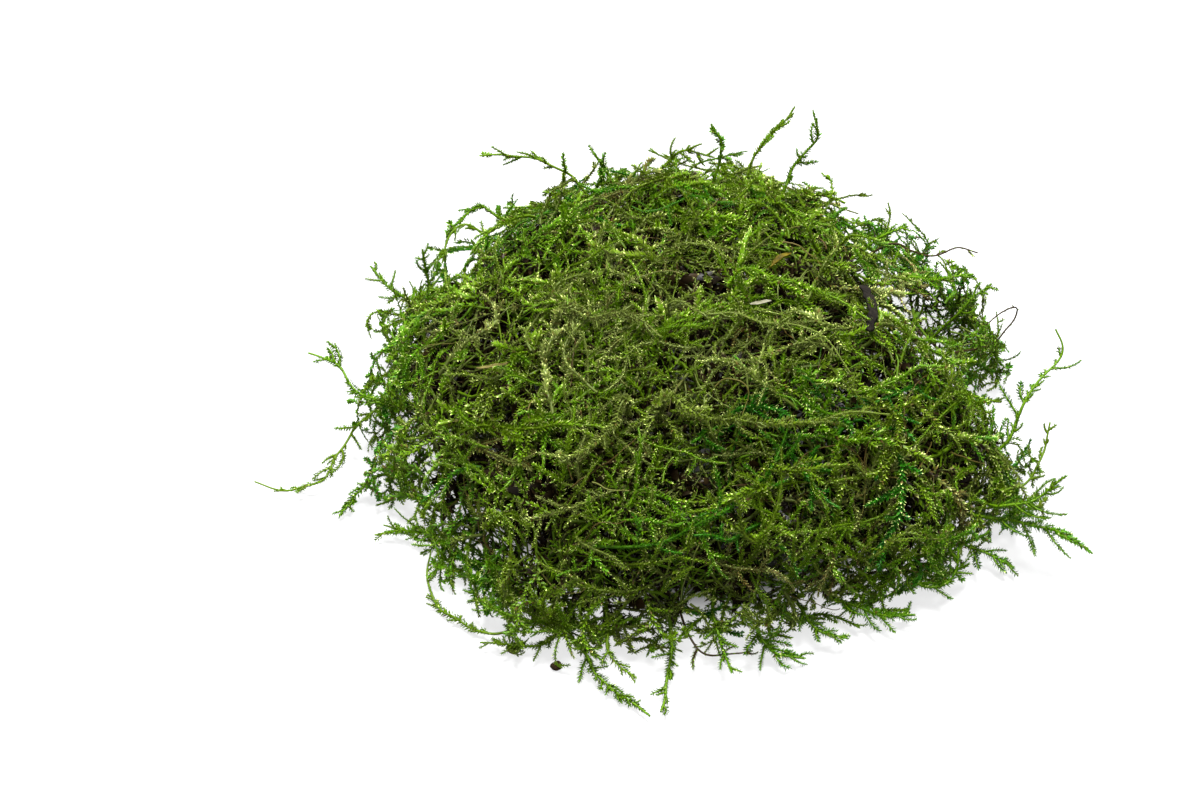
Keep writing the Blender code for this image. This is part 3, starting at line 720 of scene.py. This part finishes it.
# shoots that stand clear of the mat, each along its own route of points: a kind sets the leaves, full says
# how leafy it is from foot to tip, twigs are share along, side and length, and forks are how many evenly
# spaced branches it has, the longest of them and the share along where they begin
strayKinds = {
    "leafy": {"tone": 0.71, "leaf": 0.86, "perMm": 12.0, "spread": 56, "stem": 0.40, "stemTone": 0.60},
    "olive": {"tone": 0.63, "leaf": 0.80, "perMm": 10.5, "spread": 54, "stem": 0.34, "stemTone": 0.48},
    "bare": {"tone": 0.48, "leaf": 0.6, "perMm": 1.6, "spread": 34, "stem": 0.28, "stemTone": 0.11},
    "pale": {"tone": 0.33, "leaf": 0.95, "perMm": 14.0, "spread": 56, "stem": 0.27, "stemTone": 0.33},
}
strays = {
    "shoot_left_long": {"kind": "olive", "route": [(-54, -2, 9), (-61, -3, 9), (-67, -7, 7), (-70, -12, 5),
        (-73, -17, 3), (-78, -19, 2.2), (-82, -18, 1.8), (-86, -16, 1.6)], "full": [(0, 0.9), (0.3, 0.8),
        (0.4, 0.3), (0.5, 0.4), (0.62, 0.9), (0.76, 0.8), (0.84, 0.45), (1, 0.4)], "twigs": [(0.25, -1, 3),
        (0.33, 1, 5), (0.38, -1, 3.5), (0.47, -1, 7), (0.5, 1, 3.5), (0.57, 1, 4.5), (0.59, -1, 1.5),
        (0.63, 1, 2.5), (0.7, 1, 4.5), (0.73, -1, 1.5)]},
    "shoot_left_upper": {"route": [(-52, -8, 14), (-60, -8, 15), (-66, -5, 16), (-69, -1, 17),
        (-72, 2, 17), (-76, 5, 16)], "full": [(0, 0.8), (0.35, 1.2), (0.55, 1.2), (0.64, 0.35),
        (0.74, 1.1), (0.86, 0.8), (1, 0.35)], "twigs": [(0.2, 1, 3), (0.3, -1, 4), (0.42, -1, 3),
        (0.72, 1, 7), (0.78, 1, 4), (0.84, -1, 2.5)]},
    "shoot_left_low": {"route": [(-55, -15, 5), (-62, -17, 4), (-66, -20, 2.4), (-69, -25, 1.6)],
        "forks": (5, 4, 0.25), "full": [(0, 0.8), (0.6, 1.1), (0.9, 1.5), (1, 1.2)]},
    "shoot_left_spike": {"kind": "olive", "route": [(-44, -33, 5), (-51, -31, 4), (-57, -30, 2.6),
        (-62, -30, 1.6)], "forks": (4, 4, 0.3), "full": [(0, 0.8), (0.5, 1.6), (0.8, 1.6), (1, 0.5)]},
    "blade_left_rear": {"route": [(-51, 18, 14), (-53, 21, 20), (-54, 23, 27)], "forks": (3, 4, 0.4)},
    "shoot_left_rear": {"route": [(-52, 20, 12), (-60, 23, 15), (-65, 28, 18)], "forks": (5, 5, 0.35)},
    "loop_front_left": {"kind": "olive", "route": [(-28, -50, 4), (-34, -53.5, 2.4), (-40, -54, 1.5),
        (-46, -51, 1.2), (-50, -46, 1.2), (-51.5, -40, 1.4), (-51, -35, 2.4)], "forks": (4, 3, 0.15),
        "side": -1, "full": [(0, 0.7), (0.3, 0.45), (0.42, 1.1), (0.62, 1.2), (0.72, 0.6), (1, 0.6)]},
    "hook_front_left": {"route": [(-31, -44, 7), (-36, -51, 5.5), (-40.5, -50, 4.5), (-43, -46.5, 5),
        (-43, -43, 6.5)], "forks": (4, 4, 0.4)},
    "straggler_front": {"route": [(-25, -55, 4), (-21, -62, 2.4), (-18, -67, 1.7), (-14, -70, 1.4),
        (-10, -74, 1.4)], "full": [(0, 0.6), (0.3, 0.8), (0.5, 1.3), (0.7, 1.0), (0.85, 1.3), (1, 0.9)],
        "twigs": [(0.18, -1, 4), (0.3, 1, 5), (0.4, -1, 3), (0.52, 1, 2.5), (0.57, -1, 3.5), (0.66, 1, 2),
        (0.78, 1, 1.5)]},
    "straggler_front_upper": {"kind": "olive", "route": [(-18, -56, 7), (-17.3, -61.5, 5.5),
        (-15.5, -65, 4.6), (-12.6, -67, 4)], "forks": (3, 3, 0.5), "full": [(0, 0.8), (0.4, 0.6),
        (0.7, 1.4), (1, 1.5)]},
    "shoot_front_middle": {"route": [(-6, -56, 4), (-6, -62, 2.6), (-7, -68, 1.6), (-8, -73, 1.4)],
        "forks": (4, 4, 0.25), "full": [(0, 0.7), (0.35, 1.2), (0.6, 0.6), (1, 1)]},
    "stem_front_rim": {"kind": "bare", "route": [(-4, -54, 6), (-1, -60, 4), (4, -61, 3), (9, -60, 3)],
        "forks": (3, 4, 0.4)},
    "tip_front_right": {"route": [(2, -54, 7.5), (2.5, -59.5, 6), (5, -65.5, 3.4)], "forks": (4, 4, 0.3)},
    "fan_front_right": {"route": [(8, -53, 5), (12, -59.5, 3.4), (15, -60.5, 2.4), (18.5, -61, 2)],
        "forks": (8, 6, 0.25)},
    "shoot_front_right": {"route": [(17, -49, 5), (21, -56, 4), (26.5, -57, 3)], "forks": (6, 4, 0.3)},
    "pair_front_right": {"route": [(22, -46, 5), (29, -51, 4), (34.5, -51.4, 3), (39.5, -50.8, 2.4)],
        "forks": (8, 6, 0.3)},
    "runner_front_right": {"route": [(34, -39, 6), (40, -45, 5), (44.5, -45, 4.4), (47.5, -42.5, 5),
        (48, -39.5, 8)], "forks": (6, 5, 0.3)},
    "tips_right_low": {"route": [(48, -33, 4), (54, -36.5, 3.6), (59, -38.8, 2.2)], "forks": (5, 5, 0.35),
        "full": [(0, 0.8), (0.7, 1.1), (1, 1.1)]},
    "plume_right_lower": {"route": [(52, -31, 8), (60, -34, 10), (65, -36, 10), (70, -36, 7),
        (74, -36, 3)], "full": [(0, 0.9), (0.4, 1.4), (0.6, 1.3), (0.85, 1.2), (1, 0.8)],
        "twigs": [(0.2, 1, 7), (0.3, -1, 4), (0.36, 1, 8), (0.42, -1, 3), (0.52, 1, 8), (0.6, -1, 2),
        (0.72, 1, 2)]},
    "plume_right_upper": {"route": [(53, -30, 11), (59, -33, 13), (63.5, -32, 15), (68, -30.5, 18.5)],
        "full": [(0, 0.8), (0.4, 1.1), (0.9, 1.3), (1, 1)], "twigs": [(0.25, -1, 5), (0.38, 1, 9),
        (0.5, 1, 8), (0.55, -1, 6), (0.72, 1, 4), (0.8, -1, 2)]},
    "whip_right": {"kind": "olive", "route": [(56, -26, 8), (63, -23, 10), (65.5, -18.5, 12.5),
        (67, -14, 16)], "forks": (3, 3, 0.4), "full": [(0, 0.8), (0.5, 0.5), (1, 0.6)]},
    "arch_right": {"route": [(52, -22, 13), (58, -20, 17), (60.5, -16, 21), (63.5, -12, 24),
        (67.5, -8.5, 26), (69, -6, 28), (67.5, -4, 31)], "full": [(0, 1.0), (0.35, 0.8), (0.5, 0.45),
        (1, 0.4)], "twigs": [(0.25, -1, 4), (0.3, 1, 3), (0.4, -1, 7), (0.48, -1, 5), (0.5, 1, 2),
        (0.74, 1, 6)]},
    "loop_right_leafy": {"kind": "olive", "route": [(47, -10, 13), (52, -10, 15.5), (54.5, -10.5, 18),
        (57.3, -13, 20.5)], "forks": (4, 3, 0.4)},
    "loop_right_bare": {"kind": "bare", "route": [(42, 1, 14), (47, 3.5, 15), (52, 8, 13.5), (59, 13, 11),
        (62.5, 16.5, 12.5), (64, 18.5, 15), (60.5, 15.5, 17), (57, 11.5, 17.5)]},
    "tip_right_rear": {"route": [(49, 16, 12), (53.5, 17.5, 17), (58.5, 20, 20.5)], "forks": (3, 4, 0.4)},
    "runner_right_rear": {"route": [(34, 16, 24), (41, 16.5, 25), (48, 17.5, 24.3), (54.5, 19, 24)],
        "forks": (7, 4, 0.3)},
    "wavy_right_rear": {"kind": "bare", "route": [(33, 24, 24), (39, 23, 28.5), (42.5, 22, 27.5),
        (47, 22, 26), (51.5, 23, 27.5), (55.5, 22.5, 26.5)], "forks": (3, 3, 0.4)},
    "prong_right_rear": {"route": [(31, 20, 28), (36.5, 21, 32), (41, 22, 34)], "forks": (3, 4, 0.4)},
    "sprig_rear_right": {"route": [(17, 36, 30), (20, 41, 34), (24, 43, 38), (24, 44, 43)],
        "forks": (3, 5, 0.4), "turn": 70, "full": [(0, 0.7), (0.5, 1.2), (0.66, 0.3), (0.75, 1.4),
        (1, 0.8)]},
    "sprig_rear_middle": {"kind": "olive", "route": [(9, 35, 32), (12, 38.5, 38), (14, 39.5, 42),
        (19, 39.5, 48)], "forks": (5, 5, 0.4), "turn": 70},
    "sprig_rear": {"route": [(3, 34, 32), (5, 37.5, 39), (5, 37.5, 42.5), (2.8, 38, 46.5)],
        "forks": (2, 3, 0.5), "turn": 70, "full": [(0, 0.8), (0.4, 0.3), (0.6, 0.5), (0.7, 1.4), (1, 0.9)]},
    "fan_rear": {"kind": "olive", "route": [(-9, 36, 31), (-6, 38.5, 36), (-2.5, 38.7, 39),
        (3.5, 37.3, 38.6)], "forks": (6, 5, 0.35), "turn": 60},
    "sprig_rear_left": {"route": [(-16, 36, 29), (-17.3, 39.5, 32), (-20, 41, 36.3)], "forks": (3, 5, 0.4),
        "turn": 70},
    "arch_rear_left": {"kind": "olive", "route": [(-20, 37, 26), (-25, 40, 32), (-31, 41, 35),
        (-37, 41, 36), (-43, 42, 35)], "forks": (6, 6, 0.35), "turn": 60, "side": -1, "full": [(0, 0.8),
        (0.3, 0.5), (0.6, 0.5), (0.8, 0.9), (1, 0.9)]},
    "curl_rear_left": {"route": [(-36, 35, 20), (-42, 38.5, 24), (-46, 37.5, 23), (-50, 35, 20)],
        "forks": (5, 4, 0.3)},
    "loop_rear_left": {"kind": "olive", "route": [(-38, 28, 22), (-45, 31, 26), (-49, 29.5, 24.5),
        (-50.5, 26, 20.5)], "forks": (3, 3, 0.3), "full": [(0, 0.7), (1, 0.5)]},
}
strayBuild = {
    "seed": 33, "steps": 56,
    "root": 5.0,             # how far each shoot reaches back into the mat
    "wander": 0.35, "angle": 56, "turnIn": (-0.2, 1.5), "lastFork": 0.92, "forkShrink": 0.55,
    "twigSteps": 14, "twigStem": 0.26, "budEvery": 2.6, "budLength": (0.9, 2.2),
}


def smoothRoute(points, steps):  # an even Catmull-Rom curve through the points
    corners = np.array(points, float)
    ends = np.vstack([2 * corners[0] - corners[1], corners, 2 * corners[-1] - corners[-2]])
    t = np.linspace(0, 1, 16, endpoint=False)[:, None]
    spans = []
    for a, b, c, d in zip(ends, ends[1:], ends[2:], ends[3:]):
        bend = (2 * a - 5 * b + 4 * c - d) * t * t
        spans.append(0.5 * (2 * b + (c - a) * t + bend + (3 * b - a - 3 * c + d) * t ** 3))
    fine = np.vstack(spans + [corners[-1:]])
    walked = np.concatenate([[0], np.cumsum(np.linalg.norm(np.diff(fine, axis=0), axis=1))])
    wanted = np.linspace(0, walked[-1], steps + 1)
    return np.stack([np.interp(wanted, walked, fine[:, i]) for i in range(3)], axis=1), walked[-1]


def twigPaths(path, ups, shares, sides, lengths, dice):
    steps = strayBuild["twigSteps"]
    rows = np.zeros(len(shares), int)
    place, heading = alongPath(path[rows], shares)
    up, _ = alongPath(ups[rows], shares)
    side = unit(np.cross(heading, up)) * sides[:, None]
    angle = np.radians(strayBuild["angle"] + dice.normal(0, 8, len(shares)))[:, None]
    lift = dice.normal(0, 0.2, len(shares))[:, None]
    sag = dice.normal(0, 0.4, len(shares))[:, None]
    turnIn = dice.uniform(*strayBuild["turnIn"], len(shares))[:, None]
    twigs = np.empty((len(shares), steps + 1, 3))
    for k in range(steps + 1):
        twigs[:, k] = place
        share = k / steps
        now = angle * (1 - turnIn * share)
        ahead = heading * np.cos(now) + side * np.sin(now) + up * (lift + sag * share)
        place = place + unit(ahead) * (lengths / steps)[:, None]
    twigs[:, :, 2] = np.maximum(twigs[:, :, 2], 0.5)
    return twigs, np.repeat(up[:, None], steps + 1, axis=1)


def growStray(pile, spec, dice):
    kind = strayKinds[spec.get("kind", "leafy")]
    first = np.array([spec["route"][0]], float)
    _, outward = mat.at(first)
    root = first - outward * strayBuild["root"]
    root[:, 2] = np.maximum(root[:, 2], groundClearance)
    route = spec["route"]
    if spec.get("onMat"):
        route = [(x, y, z + mat.heightAt(x, y)) for x, y, z in route]
    path, length = smoothRoute(np.vstack([root, route]), strayBuild["steps"])
    begin = strayBuild["root"] / length  # shares are counted from where the shoot leaves the mat
    drift = np.stack([softNoise(path, 7, dice.integers(1000)) for _ in range(3)], axis=1)
    path = path + drift * strayBuild["wander"] * np.sin(np.linspace(0, math.pi, len(path)))[:, None]
    path[:, 2] = np.maximum(path[:, 2], 0.6)
    heading = unit(np.gradient(path, axis=0))
    flatTo = np.array([0, 0, 1.0]) if np.abs(heading[:, 2]).mean() < 0.8 else np.array([0, -1.0, 0])
    across = unit(np.cross(heading, flatTo))
    roll = math.radians(spec.get("turn", 0))
    ups = unit(np.cross(across, heading) * math.cos(roll) + across * math.sin(roll))
    path, ups = path[None], ups[None]
    twigs = list(spec.get("twigs", ()))
    forks, longest, begins = spec.get("forks", (0, 0, 0))
    side = spec.get("side", 1)
    for k in range(forks):
        share = begins + (strayBuild["lastFork"] - begins) * k / max(forks - 1, 1)
        twigs.append((share, side, longest * (1 - strayBuild["forkShrink"] * k / forks)))
        side = -side
    if kind["perMm"] > 2:
        for k in range(int(length / strayBuild["budEvery"])):
            share, side = dice.uniform(0.1, 0.9), dice.choice((-1, 1))
            twigs.append((share, side, dice.uniform(*strayBuild["budLength"])))
    look = {**clearLeaves, "bare": 0, "missing": 0.04, "flat": 0.6, "glint": 0.05, "mottle": 0.03,
            "core": kind["stem"] * 0.8, **{key: kind[key] for key in ("leaf", "perMm", "spread")}}
    tone = kind["tone"] + dice.normal(0, 0.04)
    full = spec.get("full", [(0, 0.8), (0.5, 1.1), (1, 1)])
    full = [(begin + (1 - begin) * share, value) for share, value in full]
    one = np.ones(1)
    stem = Shoots(path, ups, one * length, one * tone, one)
    leafOut(pile, stem, look, dice, True, full)
    stemOut(pile, stem, one * kind["stemTone"], one * kind["stem"], 6, 1)
    if twigs:
        shares, sides, lengths = (np.array(column, float) for column in zip(*twigs))
        shares = begin + (1 - begin) * shares
        branch = Shoots(*twigPaths(path, ups, shares, sides, lengths, dice), lengths)
        branch.tones = tone + dice.normal(0.01, 0.03, len(twigs))
        branch.vigour = dice.uniform(0.8, 1.15, len(twigs))
        twigLook = {**look, "leaf": max(look["leaf"], 0.8) * 0.92, "perMm": max(look["perMm"], 10),
                    "core": strayBuild["twigStem"]}
        leafOut(pile, branch, twigLook, dice, True)
        many = np.ones(len(twigs))
        stemOut(pile, branch, many * kind["stemTone"], many * strayBuild["twigStem"], 4, 2)


strayDice = np.random.default_rng(strayBuild["seed"])
for name, spec in strays.items():
    pile = Pile()
    growStray(pile, spec, strayDice)
    pileToPiece("leafy_" + name, pile, [name])

# shoots of the tangle that stand out on its surface; with onMat a point's third number is height over it
markedShoots = [
    {"kind": "pale", "onMat": True, "route": [(-8, -30, 0.6), (-1, -32.7, 2.2), (8, -35, 3),
     (17.3, -34.6, 2.6), (26, -32, 2.2), (34, -29.3, 1.2)], "forks": (8, 6, 0.15), "full": [(0, 1),
     (0.5, 1.3), (1, 0.7)]},
    {"kind": "pale", "onMat": True, "route": [(-6, -11, 0.8), (0, -13, 2.4), (10, -14.5, 3),
     (21, -18, 1.6), (27, -23, 0.8)], "forks": (5, 4, 0.3), "full": [(0, 0.7), (1, 0.6)]},
    {"kind": "pale", "onMat": True, "route": [(-27, -8, 0.8), (-20.7, -10.8, 2.2), (-13, -13, 2.4),
     (-8, -18, 1)], "forks": (9, 5, 0.1)},
    {"kind": "pale", "onMat": True, "route": [(-14, -30, 1), (-17, -36, 2), (-24, -40, 1.6),
     (-30, -38, 1)], "forks": (5, 4, 0.2)},
    {"kind": "olive", "onMat": True, "route": [(6, -2, 1), (14, -3, 2.6), (24, -5, 2.4), (31, -12, 1)],
     "forks": (5, 4, 0.2)},
    {"kind": "olive", "route": [(-26, -53, 3), (-29, -57.5, 2.4), (-34, -58, 2), (-41, -57, 1.8)],
     "forks": (6, 4, 0.25), "full": [(0, 0.8), (0.5, 1.3), (1, 0.9)]},
    {"kind": "leafy", "route": [(-44, -30, 7), (-48, -36, 5), (-50, -42, 3.5)], "forks": (5, 4, 0.2)},
]


def growMarked():
    pile = Pile()
    dice = np.random.default_rng(61)
    for spec in markedShoots:
        growStray(pile, spec, dice)
    pileToPiece("marked_shoots", pile)


growMarked()

# bits caught in the moss: points along each one are x, y and height over the mat, in millimetres
caughtBits = {
    "bark_strip": {"route": [(31, 2, 0.0), (32, -4, 0.5), (32, -9, 0.5), (31, -14, 0.2)], "half": 0.85,
                   "thick": 0.5, "cup": 0.25, "pointed": 0.15, "ragged": 0.22, "rough": 0.14},
    "yellow_leaf": {"route": [(12.5, 0.3, 0.6), (15, 2, 1.3), (17, 3.2, 1.0)], "half": 0.65, "thick": 0.12,
                    "cup": 0.5, "pointed": 1.0, "ragged": 0.1, "rough": 0.05},
    "pale_flake": {"route": [(9, -8, 0.9), (11, -7.4, 1.5), (13, -7, 1.6)], "half": 0.5, "thick": 0.12,
                   "cup": 0.35, "pointed": 0.7, "ragged": 0.25, "rough": 0.06},
    "grass_end": {"route": [(-36, -19, 0.8), (-39, -19, 1.4), (-42, -18, 1.8)], "half": 0.5, "thick": 0.1,
                  "cup": 0.6, "pointed": 0.9, "ragged": 0.12, "rough": 0.03},
}
bitFinish = {
    "bark_strip": {"dark": (0.001, 0.0008, 0.0006), "light": (0.010, 0.008, 0.006),
                   "grain": (1500, 1500, 160), "rough": 0.85, "glow": 0.0},
    "yellow_leaf": {"dark": (0.030, 0.022, 0.002), "light": (0.110, 0.085, 0.005), "grain": (900, 900, 500),
                    "rough": 0.5, "glow": 0.3},
    "pale_flake": {"dark": (0.060, 0.055, 0.030), "light": (0.20, 0.195, 0.14), "grain": (900, 900, 600),
                   "rough": 0.55, "glow": 0.25},
    "grass_end": {"dark": (0.040, 0.032, 0.008), "light": (0.15, 0.13, 0.04), "grain": (400, 1800, 900),
                  "rough": 0.5, "glow": 0.2},
    "litter_crumb": {"dark": (0.003, 0.002, 0.001), "light": (0.030, 0.017, 0.008), "grain": (900, 900, 900),
                     "rough": 0.9, "glow": 0.0},
}


def makeBitMaterial(name, look):
    g = Graph(name)
    place = g.add("ShaderNodeTexCoord", output=3)
    grain = g.add("ShaderNodeVectorMath", {"operation": 'MULTIPLY'}, {0: place, 1: look["grain"]})
    fine = g.add("ShaderNodeTexNoise", {}, {"Vector": grain, "Scale": 1.0, "Detail": 5.0, "Roughness": 0.65})
    patch = g.add("ShaderNodeTexNoise", {}, {"Vector": place, "Scale": 260.0, "Detail": 2.0})
    amount = g.add("ShaderNodeMapRange", {}, {0: fine * 0.65 + patch * 0.35, 1: 0.36, 2: 0.64})
    colour = g.blend(amount, (*look["dark"], 1), (*look["light"], 1))
    bump = g.add("ShaderNodeBump", {}, {"Strength": 0.6, "Distance": 0.0003, "Height": fine})
    body = g.add("ShaderNodeBsdfPrincipled", {}, {"Base Color": colour, "Roughness": look["rough"],
                                                 "Specular IOR Level": 0.05, "Normal": bump})
    if not look["glow"]:
        return g.finish(body)
    through = g.add("ShaderNodeBsdfTranslucent", {}, {"Color": colour})
    return g.finish(g.add("ShaderNodeMixShader", {}, {0: look["glow"], 1: body, 2: through}))


def makeBit(name, look):  # a thin cupped strip, uneven along its edges
    dice = np.random.default_rng(len(name))
    route = [(x, y, mat.heightAt(x, y) + lift) for x, y, lift in look["route"]]
    along, across = 40, 10
    path, _ = smoothRoute(route, along)
    heading = unit(np.gradient(path, axis=0))
    side = unit(np.cross(heading, (0, 0.25, 1.0)))
    up = np.cross(side, heading)
    share = np.linspace(0, 1, along + 1)
    swell = 1 - look["pointed"] * np.abs(2 * share - 1) ** 2.2
    edges = [swell * (1 + look["ragged"] * softNoise(path, 2.2, dice.integers(1000))) for _ in range(2)]
    corners = []
    for s in np.linspace(-1, 1, across + 1):
        width = look["half"] * np.where(s < 0, edges[0], edges[1])
        lift = look["cup"] * look["half"] * (s * s - 0.5)
        corners.append(path + side * (s * width)[:, None] + up * lift)
    grid = np.stack(corners, axis=1).reshape(-1, 3)
    grid += look["rough"] * np.stack([softNoise(grid, 1.6, dice.integers(1000)) for _ in range(3)], axis=1)
    wide = across + 1
    faces = [(i * wide + j, i * wide + j + 1, (i + 1) * wide + j + 1, (i + 1) * wide + j)
             for i in range(along) for j in range(across)]
    mesh = bpy.data.meshes.new(name + "_finished")
    mesh.from_pydata((grid * mm).tolist(), [], faces)
    mesh.shade_smooth()
    mesh.materials.append(makeBitMaterial(name.replace("_", " "), bitFinish[name]))
    piece = placePiece(name + "_finished", mesh, [name])
    thicken = piece.modifiers.new("thickness", 'SOLIDIFY')
    thicken.thickness = look["thick"] * mm
    thicken.offset = 0


def makeCrumb(node, seed):  # a rough lump of litter in the space of its plain solid
    low, high = (np.array(corner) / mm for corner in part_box(node))
    centre, half = (low + high) / 2, (high - low) / 2
    bm = bmesh.new()
    bmesh.ops.create_icosphere(bm, subdivisions=4, radius=1)
    places = np.array([v.co for v in bm.verts])
    lumps = 1 + 0.13 * softNoise(places, 1.3, seed) + 0.05 * softNoise(places, 0.4, seed + 1)
    places = centre + places * lumps[:, None] * half * 0.95
    places[:, 2] = np.clip(places[:, 2], 0.02, high[2])
    for vert, place in zip(bm.verts, places * mm):
        vert.co = place
    mesh = bpy.data.meshes.new(node + "_finished")
    bm.to_mesh(mesh)
    bm.free()
    mesh.shade_smooth()
    mesh.materials.append(crumbFinish)
    placePiece(node + "_finished", mesh, [node])


crumbFinish = makeBitMaterial("dark litter", bitFinish["litter_crumb"])
for name, look in caughtBits.items():
    makeBit(name, look)
makeCrumb("litter_crumb_left", 3)
makeCrumb("litter_crumb_right", 8)
print("caught bits made")

studio = {
    "table": 0.14,
    "tablePaintedGlow": 0.72,       # painted light: the table glows a little though it is no lamp, which keeps the shadows on it faint
    "paintedGlowFrom": (0.040, 0.053),   # but not under the middle of the clump, where the dark grey table is left as painted shade
    "world": 0.85, "target": (-19, 8, 0), "distance": 600, "elevation": 45, "lens": 90, "sensor": 36,
    "lights": {              # size, power and place of each
        "overhead softbox": (0.35, 32.0, (0.03, 0.18, 0.78)),
        "small sparkle lamp": (0.05, 6.0, (-0.35, 0.3, 0.7)),
        "front fill": (0.5, 1.5, (-0.15, -0.6, 0.45)),
    },
}


def makeTable():
    mesh = bpy.data.meshes.new("table")
    half = 3.0
    corners = [(-half, -half, 0), (half, -half, 0), (half, half, 0), (-half, half, 0)]
    mesh.from_pydata(corners, [], [(0, 1, 2, 3)])
    table = bpy.data.objects.new("table", mesh)
    bpy.context.scene.collection.objects.link(table)
    g = Graph("white table")
    grey, near, far = studio["table"], *studio["paintedGlowFrom"]
    place = g.add("ShaderNodeTexCoord", output=3)
    away = g.add("ShaderNodeVectorMath", {"operation": 'LENGTH'}, {0: place}, 1)
    clear = g.add("ShaderNodeMapRange", {"interpolation_type": 'SMOOTHSTEP'}, {0: away, 1: near, 2: far})
    # painted light: the table glows away from the clump, and stays dark grey under it as painted shade
    glow = g.blend(clear, (0, 0, 0, 1), (1, 1, 1, 1))
    body = g.add("ShaderNodeBsdfPrincipled", {}, {"Base Color": (grey, grey, grey, 1), "Roughness": 0.9,
                                                 "Specular IOR Level": 0.1, "Emission Color": glow,
                                                 "Emission Strength": studio["tablePaintedGlow"]})
    mesh.materials.append(g.finish(body))


def makeLight(name, size, power, place):
    lamp = bpy.data.lights.new(name, 'AREA')
    lamp.shape = 'DISK'
    lamp.size = size
    lamp.energy = power
    light = bpy.data.objects.new(name, lamp)
    light.location = place
    light.rotation_euler = (Vector((0, 0, 0.02)) - light.location).to_track_quat('-Z', 'Y').to_euler()
    bpy.context.scene.collection.objects.link(light)


def makeCamera():
    lens = bpy.data.cameras.new("camera")
    lens.lens = studio["lens"]
    lens.sensor_width = studio["sensor"]
    lens.clip_start = 0.01
    camera = bpy.data.objects.new("camera", lens)
    bpy.context.scene.collection.objects.link(camera)
    tilt = math.radians(studio["elevation"])
    back = Vector((0, -math.cos(tilt), math.sin(tilt)))
    camera.location = (Vector(studio["target"]) + back * studio["distance"]) * mm
    camera.rotation_euler = (math.pi / 2 - tilt, 0, 0)
    bpy.context.scene.camera = camera


def makeWorld():
    world = bpy.data.worlds.new("studio")
    bpy.context.scene.world = world
    world.use_nodes = True
    background = world.node_tree.nodes["Background"]
    background.inputs["Color"].default_value = (1, 1, 1, 1)
    background.inputs["Strength"].default_value = studio["world"]
    bpy.context.scene.view_settings.view_transform = 'Standard'


makeTable()
for name, (size, power, place) in studio["lights"].items():
    makeLight(name, size, power, place)
makeCamera()
makeWorld()
print("studio set up")
